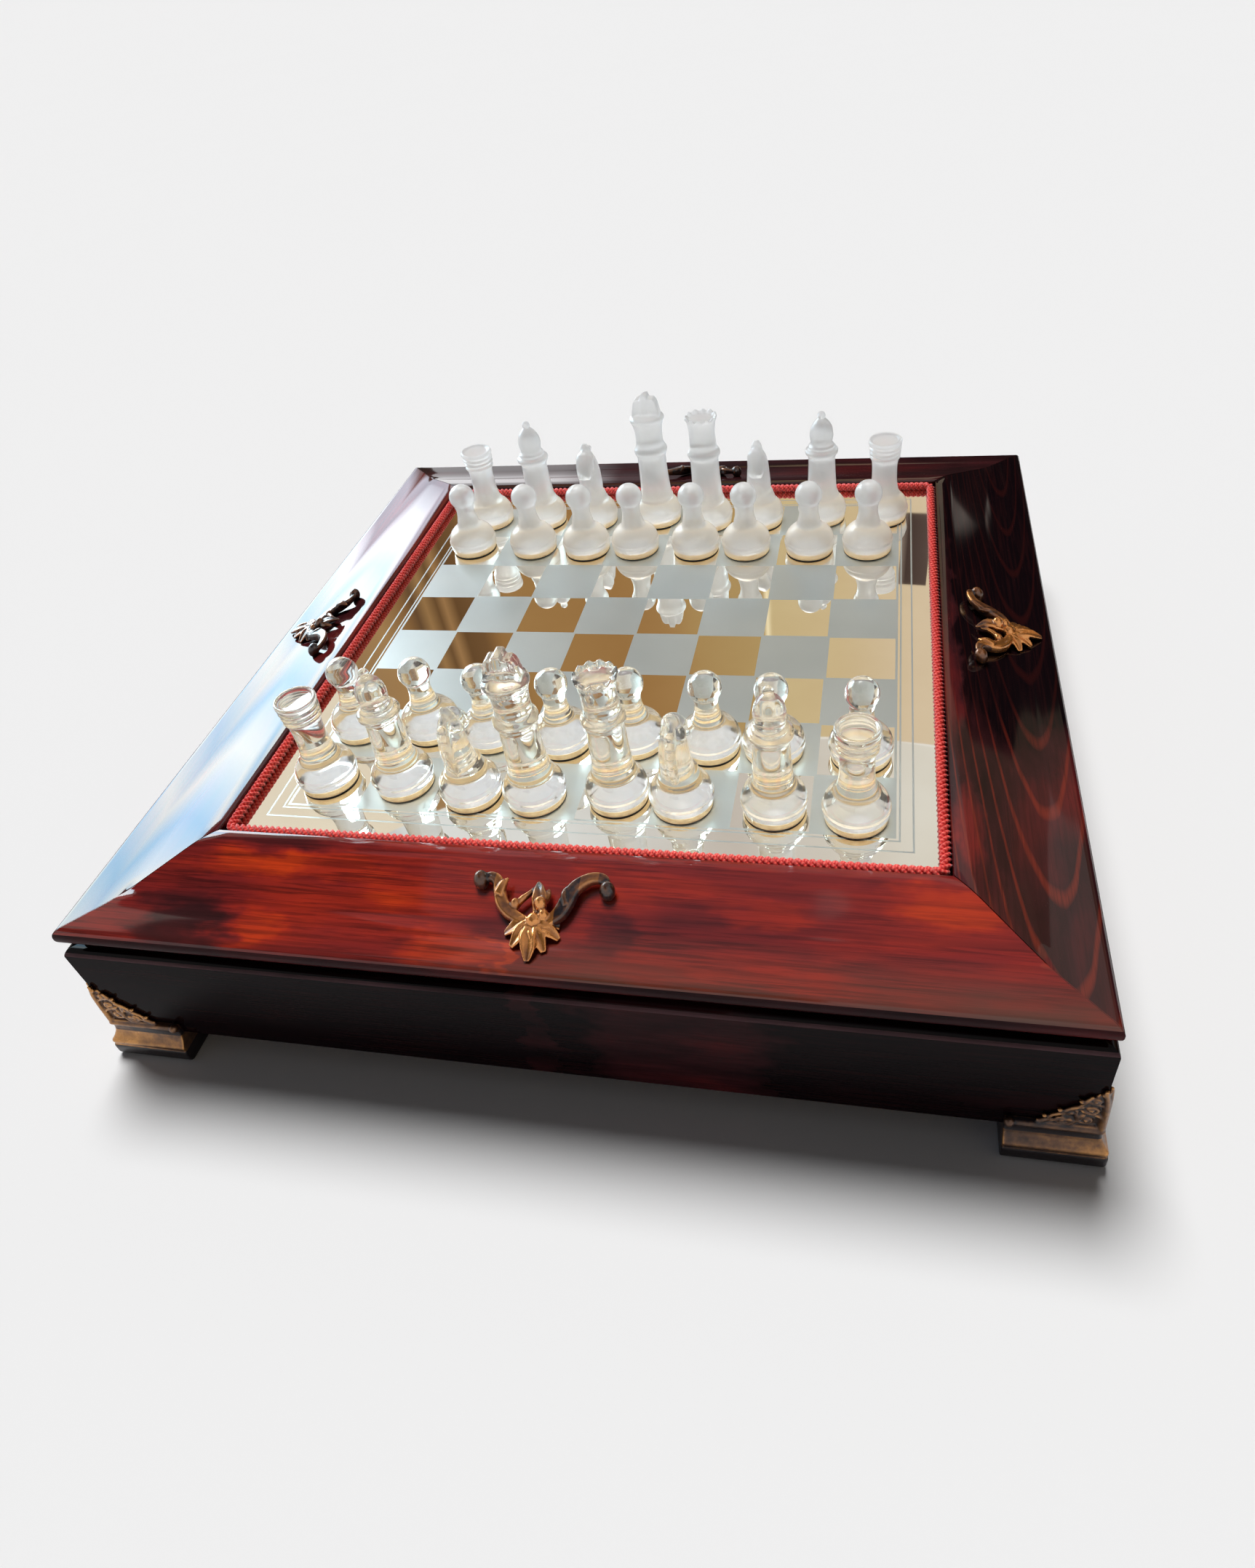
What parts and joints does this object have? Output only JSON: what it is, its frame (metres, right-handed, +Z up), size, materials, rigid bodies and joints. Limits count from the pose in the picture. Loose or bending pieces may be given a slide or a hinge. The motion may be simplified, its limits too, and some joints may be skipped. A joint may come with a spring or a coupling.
{
  "type": "chess box with drawers",
  "caption": "Square dark hardwood chess box with a framed mirror-glass board, brass scroll mounts, cast corner feet, a drawer in each end and glass chessmen.",
  "frame": {"origin": "under the middle of the box, on the plane the feet stand on", "axes": "+Z up, -Y towards the plain front with the clear army, +X towards the right-hand drawer"},
  "size_m": [0.3504, 0.3482, 0.136],
  "materials": {
    "case_wood": "high-gloss dark red hardwood",
    "dark_wood": "dark stained, satin",
    "drawer_wood": "satin",
    "plywood": "plain, unfinished",
    "mirror_glass": "polished, with etched frosted squares",
    "clear_glass": "polished",
    "frosted_glass": "frosted",
    "cord": "twisted silk cord",
    "velvet": "velvet lining",
    "gilt_brass": "antiqued with dark recesses",
    "steel": "plain"
  },
  "bodies": {
    "case": {"frame_rail_front": "case_wood", "frame_rail_back": "case_wood", "frame_rail_left": "case_wood", "frame_rail_right": "case_wood", "mirror_board": "mirror_glass", "board_backing": "plywood", "cord_trim": "cord", "scroll_mounts": "gilt_brass", "base_wall_front": "case_wood", "base_wall_back": "case_wood", "base_wall_left": "case_wood", "base_wall_right": "case_wood", "base_floor": "plywood", "spacer_frame": "dark_wood", "centre_divider": "plywood", "drawer_runners": "plywood", "corner_feet": "gilt_brass", "screws": "steel"},
    "left_drawer": {"left_drawer_front": "case_wood", "left_drawer_sides": "drawer_wood", "left_drawer_bottom": "velvet", "left_pull_plate": "gilt_brass"},
    "left_ring": {"left_pull_ring": "gilt_brass"},
    "right_drawer": {"right_drawer_front": "case_wood", "right_drawer_sides": "drawer_wood", "right_drawer_bottom": "velvet", "right_pull_plate": "gilt_brass"},
    "right_ring": {"right_pull_ring": "gilt_brass"},
    "clear_rook_a_man": {"clear_rook_a": "clear_glass"},
    "clear_bishop_b_man": {"clear_bishop_b": "clear_glass"},
    "clear_knight_c_man": {"clear_knight_c": "clear_glass"},
    "clear_king_d_man": {"clear_king_d": "clear_glass"},
    "clear_queen_e_man": {"clear_queen_e": "clear_glass"},
    "clear_knight_f_man": {"clear_knight_f": "clear_glass"},
    "clear_bishop_g_man": {"clear_bishop_g": "clear_glass"},
    "clear_rook_h_man": {"clear_rook_h": "clear_glass"},
    "clear_pawn_a_man": {"clear_pawn_a": "clear_glass"},
    "clear_pawn_b_man": {"clear_pawn_b": "clear_glass"},
    "clear_pawn_c_man": {"clear_pawn_c": "clear_glass"},
    "clear_pawn_d_man": {"clear_pawn_d": "clear_glass"},
    "clear_pawn_e_man": {"clear_pawn_e": "clear_glass"},
    "clear_pawn_f_man": {"clear_pawn_f": "clear_glass"},
    "clear_pawn_g_man": {"clear_pawn_g": "clear_glass"},
    "clear_pawn_h_man": {"clear_pawn_h": "clear_glass"},
    "frosted_rook_a_man": {"frosted_rook_a": "frosted_glass"},
    "frosted_bishop_b_man": {"frosted_bishop_b": "frosted_glass"},
    "frosted_knight_c_man": {"frosted_knight_c": "frosted_glass"},
    "frosted_king_d_man": {"frosted_king_d": "frosted_glass"},
    "frosted_queen_e_man": {"frosted_queen_e": "frosted_glass"},
    "frosted_knight_f_man": {"frosted_knight_f": "frosted_glass"},
    "frosted_bishop_g_man": {"frosted_bishop_g": "frosted_glass"},
    "frosted_rook_h_man": {"frosted_rook_h": "frosted_glass"},
    "frosted_pawn_a_man": {"frosted_pawn_a": "frosted_glass"},
    "frosted_pawn_b_man": {"frosted_pawn_b": "frosted_glass"},
    "frosted_pawn_c_man": {"frosted_pawn_c": "frosted_glass"},
    "frosted_pawn_d_man": {"frosted_pawn_d": "frosted_glass"},
    "frosted_pawn_e_man": {"frosted_pawn_e": "frosted_glass"},
    "frosted_pawn_f_man": {"frosted_pawn_f": "frosted_glass"},
    "frosted_pawn_g_man": {"frosted_pawn_g": "frosted_glass"},
    "frosted_pawn_h_man": {"frosted_pawn_h": "frosted_glass"}
  },
  "joints": [
    {"name": "left_drawer_slide", "type": "slide", "parent": "case", "child": "left_drawer", "axis": [-1, 0, 0], "range_m": [0, 0.1]},
    {"name": "right_drawer_slide", "type": "slide", "parent": "case", "child": "right_drawer", "axis": [1, 0, 0], "range_m": [0, 0.1]},
    {"name": "left_ring_swing", "type": "hinge", "parent": "left_drawer", "child": "left_ring", "pos_m": [-0.1731, 0, 0.041], "axis": [0, 1, 0], "range_deg": [0, 95]},
    {"name": "right_ring_swing", "type": "hinge", "parent": "right_drawer", "child": "right_ring", "pos_m": [0.1731, 0, 0.041], "axis": [0, -1, 0], "range_deg": [0, 95]},
    {"name": "clear_rook_a_lift", "type": "slide", "parent": "case", "child": "clear_rook_a_man", "axis": [0, 0, 1], "range_m": [0, 0.07]},
    {"name": "clear_bishop_b_lift", "type": "slide", "parent": "case", "child": "clear_bishop_b_man", "axis": [0, 0, 1], "range_m": [0, 0.07]},
    {"name": "clear_knight_c_lift", "type": "slide", "parent": "case", "child": "clear_knight_c_man", "axis": [0, 0, 1], "range_m": [0, 0.07]},
    {"name": "clear_king_d_lift", "type": "slide", "parent": "case", "child": "clear_king_d_man", "axis": [0, 0, 1], "range_m": [0, 0.07]},
    {"name": "clear_queen_e_lift", "type": "slide", "parent": "case", "child": "clear_queen_e_man", "axis": [0, 0, 1], "range_m": [0, 0.07]},
    {"name": "clear_knight_f_lift", "type": "slide", "parent": "case", "child": "clear_knight_f_man", "axis": [0, 0, 1], "range_m": [0, 0.07]},
    {"name": "clear_bishop_g_lift", "type": "slide", "parent": "case", "child": "clear_bishop_g_man", "axis": [0, 0, 1], "range_m": [0, 0.07]},
    {"name": "clear_rook_h_lift", "type": "slide", "parent": "case", "child": "clear_rook_h_man", "axis": [0, 0, 1], "range_m": [0, 0.07]},
    {"name": "clear_pawn_a_lift", "type": "slide", "parent": "case", "child": "clear_pawn_a_man", "axis": [0, 0, 1], "range_m": [0, 0.07]},
    {"name": "clear_pawn_b_lift", "type": "slide", "parent": "case", "child": "clear_pawn_b_man", "axis": [0, 0, 1], "range_m": [0, 0.07]},
    {"name": "clear_pawn_c_lift", "type": "slide", "parent": "case", "child": "clear_pawn_c_man", "axis": [0, 0, 1], "range_m": [0, 0.07]},
    {"name": "clear_pawn_d_lift", "type": "slide", "parent": "case", "child": "clear_pawn_d_man", "axis": [0, 0, 1], "range_m": [0, 0.07]},
    {"name": "clear_pawn_e_lift", "type": "slide", "parent": "case", "child": "clear_pawn_e_man", "axis": [0, 0, 1], "range_m": [0, 0.07]},
    {"name": "clear_pawn_f_lift", "type": "slide", "parent": "case", "child": "clear_pawn_f_man", "axis": [0, 0, 1], "range_m": [0, 0.07]},
    {"name": "clear_pawn_g_lift", "type": "slide", "parent": "case", "child": "clear_pawn_g_man", "axis": [0, 0, 1], "range_m": [0, 0.07]},
    {"name": "clear_pawn_h_lift", "type": "slide", "parent": "case", "child": "clear_pawn_h_man", "axis": [0, 0, 1], "range_m": [0, 0.07]},
    {"name": "frosted_rook_a_lift", "type": "slide", "parent": "case", "child": "frosted_rook_a_man", "axis": [0, 0, 1], "range_m": [0, 0.07]},
    {"name": "frosted_bishop_b_lift", "type": "slide", "parent": "case", "child": "frosted_bishop_b_man", "axis": [0, 0, 1], "range_m": [0, 0.07]},
    {"name": "frosted_knight_c_lift", "type": "slide", "parent": "case", "child": "frosted_knight_c_man", "axis": [0, 0, 1], "range_m": [0, 0.07]},
    {"name": "frosted_king_d_lift", "type": "slide", "parent": "case", "child": "frosted_king_d_man", "axis": [0, 0, 1], "range_m": [0, 0.07]},
    {"name": "frosted_queen_e_lift", "type": "slide", "parent": "case", "child": "frosted_queen_e_man", "axis": [0, 0, 1], "range_m": [0, 0.07]},
    {"name": "frosted_knight_f_lift", "type": "slide", "parent": "case", "child": "frosted_knight_f_man", "axis": [0, 0, 1], "range_m": [0, 0.07]},
    {"name": "frosted_bishop_g_lift", "type": "slide", "parent": "case", "child": "frosted_bishop_g_man", "axis": [0, 0, 1], "range_m": [0, 0.07]},
    {"name": "frosted_rook_h_lift", "type": "slide", "parent": "case", "child": "frosted_rook_h_man", "axis": [0, 0, 1], "range_m": [0, 0.07]},
    {"name": "frosted_pawn_a_lift", "type": "slide", "parent": "case", "child": "frosted_pawn_a_man", "axis": [0, 0, 1], "range_m": [0, 0.07]},
    {"name": "frosted_pawn_b_lift", "type": "slide", "parent": "case", "child": "frosted_pawn_b_man", "axis": [0, 0, 1], "range_m": [0, 0.07]},
    {"name": "frosted_pawn_c_lift", "type": "slide", "parent": "case", "child": "frosted_pawn_c_man", "axis": [0, 0, 1], "range_m": [0, 0.07]},
    {"name": "frosted_pawn_d_lift", "type": "slide", "parent": "case", "child": "frosted_pawn_d_man", "axis": [0, 0, 1], "range_m": [0, 0.07]},
    {"name": "frosted_pawn_e_lift", "type": "slide", "parent": "case", "child": "frosted_pawn_e_man", "axis": [0, 0, 1], "range_m": [0, 0.07]},
    {"name": "frosted_pawn_f_lift", "type": "slide", "parent": "case", "child": "frosted_pawn_f_man", "axis": [0, 0, 1], "range_m": [0, 0.07]},
    {"name": "frosted_pawn_g_lift", "type": "slide", "parent": "case", "child": "frosted_pawn_g_man", "axis": [0, 0, 1], "range_m": [0, 0.07]},
    {"name": "frosted_pawn_h_lift", "type": "slide", "parent": "case", "child": "frosted_pawn_h_man", "axis": [0, 0, 1], "range_m": [0, 0.07]}
  ]
}
